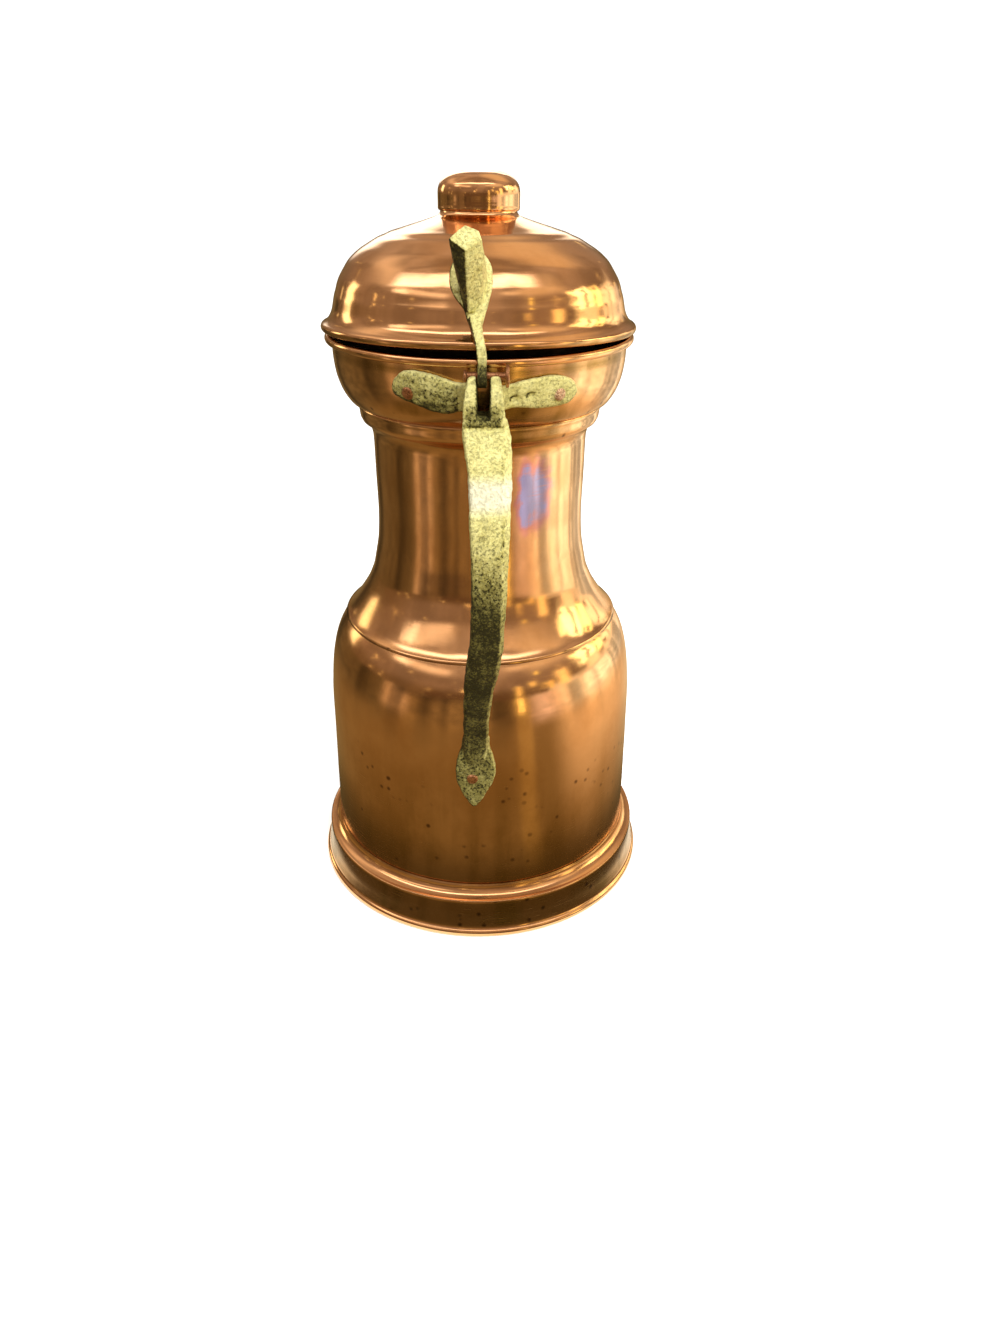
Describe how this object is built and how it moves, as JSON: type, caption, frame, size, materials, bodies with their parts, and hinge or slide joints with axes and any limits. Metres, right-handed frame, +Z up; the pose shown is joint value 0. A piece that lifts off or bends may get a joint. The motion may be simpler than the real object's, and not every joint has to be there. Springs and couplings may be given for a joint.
{
  "type": "lidded copper jug",
  "caption": "Hand-made copper water jug with a domed, knobbed lid on a hinge, and a cast brass strap handle, hinge arm and thumb-piece.",
  "frame": {"origin": "on the jug's axis, in the plane that the foot stands on; the base's flat underside lies 1.5 mm above it", "axes": "+Z up along the jug's axis; the hinge, the arm and the strap handle are on the -Y side; +X is to the right in the picture"},
  "size_m": [0.165, 0.1868, 0.3239],
  "materials": {
    "copper": "polished copper sheet, worn and toned, tinned inside",
    "rivet_copper": "hammered copper, dull",
    "cast_brass": "rough sand-cast yellow brass, bright where handled",
    "iron_wire": "dull iron wire, hidden inside the rolled edges"
  },
  "bodies": {
    "jug": {"base_plate": "copper", "foot_ring": "copper", "foot_wire": "iron_wire", "lower_body": "copper", "neck_shell": "copper", "mouth_bowl": "copper", "mouth_wire": "iron_wire", "handle": "cast_brass", "wing_rivet_left": "rivet_copper", "wing_rivet_right": "rivet_copper", "tail_rivet": "rivet_copper", "hinge_pin": "rivet_copper"},
    "lid": {"lid_dome": "copper", "lid_wire": "iron_wire", "knob_cap": "copper", "hinge_arm": "cast_brass", "arm_rivet_right": "cast_brass", "arm_rivet_left": "cast_brass"}
  },
  "joints": [
    {"name": "lid_hinge", "type": "hinge", "parent": "jug", "child": "lid", "pos_m": [0.0009, -0.071, 0.258], "axis": [1, 0, 0], "range_deg": [0, 130]}
  ]
}
